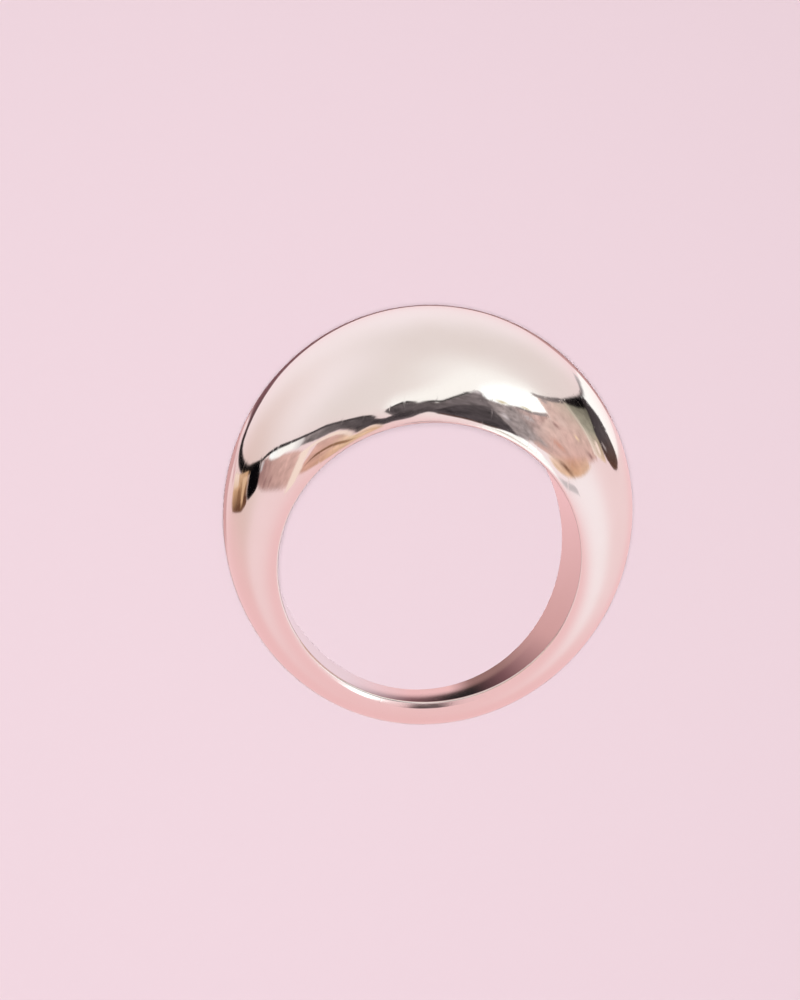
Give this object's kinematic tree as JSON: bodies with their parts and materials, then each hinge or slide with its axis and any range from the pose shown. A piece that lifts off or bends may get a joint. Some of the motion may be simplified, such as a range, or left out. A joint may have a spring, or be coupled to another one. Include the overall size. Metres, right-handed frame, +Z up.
{
  "type": "silver dome ring",
  "caption": "Plain finger ring in polished silver: a high rounded dome over the finger, tapering evenly all the way round to a slim shank, lying on its side.",
  "frame": {"origin": "on the surface that the ring lies on, under the middle of its bounding box", "axes": "+Z up from that surface, +Y towards the dome, +X to the right when the dome points away; the finger hole's axis leans 15.8 degrees from +Z towards -Y"},
  "size_m": [0.0238, 0.024, 0.0128],
  "materials": {
    "silver": "mirror polished silver with faint hairlines"
  },
  "bodies": {
    "root": {"ring": "silver"}
  },
  "joints": []
}
